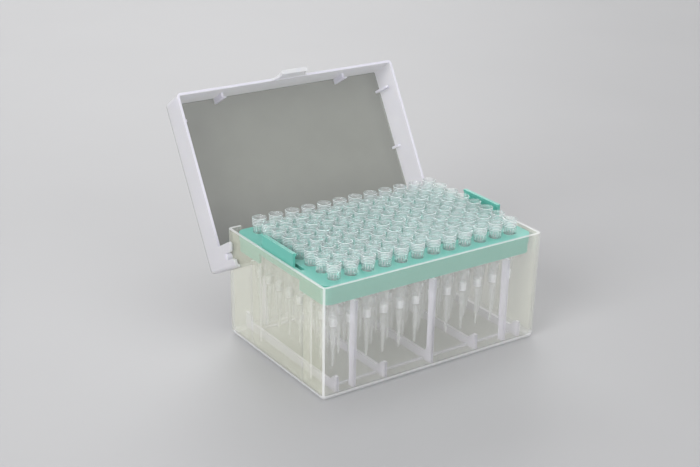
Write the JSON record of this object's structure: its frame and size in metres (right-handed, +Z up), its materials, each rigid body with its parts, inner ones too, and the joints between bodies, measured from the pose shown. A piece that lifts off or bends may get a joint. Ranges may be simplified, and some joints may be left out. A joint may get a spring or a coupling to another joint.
{
  "type": "box of pipette tips",
  "caption": "Hinged translucent storage box of filter pipette tips, lid open, with the tips hanging in a teal lift-out rack.",
  "frame": {"origin": "middle of the box's underside, below the middle of the tip grid", "axes": "+X along the long side, +Y towards the hinge, +Z up"},
  "size_m": [0.1276, 0.1409, 0.1135],
  "materials": {
    "frosted_polypropylene": "satin",
    "teal_polypropylene": "satin",
    "clear_polypropylene": "gloss",
    "porous_polyethylene": "matte"
  },
  "bodies": {
    "base": {"base_box": "frosted_polypropylene", "tip_rack": "teal_polypropylene", "tips_col_01": "clear_polypropylene", "tips_col_02": "clear_polypropylene", "tips_col_03": "clear_polypropylene", "tips_col_04": "clear_polypropylene", "tips_col_05": "clear_polypropylene", "tips_col_06": "clear_polypropylene", "tips_col_07": "clear_polypropylene", "tips_col_08": "clear_polypropylene", "tips_col_09": "clear_polypropylene", "tips_col_10": "clear_polypropylene", "tips_col_11": "clear_polypropylene", "tips_col_12": "clear_polypropylene", "filters_col_01": "porous_polyethylene", "filters_col_02": "porous_polyethylene", "filters_col_03": "porous_polyethylene", "filters_col_04": "porous_polyethylene", "filters_col_05": "porous_polyethylene", "filters_col_06": "porous_polyethylene", "filters_col_07": "porous_polyethylene", "filters_col_08": "porous_polyethylene", "filters_col_09": "porous_polyethylene", "filters_col_10": "porous_polyethylene", "filters_col_11": "porous_polyethylene", "filters_col_12": "porous_polyethylene"},
    "lid": {"lid": "frosted_polypropylene"}
  },
  "joints": [
    {"name": "lid_hinge", "type": "hinge", "parent": "base", "child": "lid", "pos_m": [0, 0.0383, 0.0409], "axis": [1, 0, 0], "range_deg": [0, 120.2]}
  ]
}
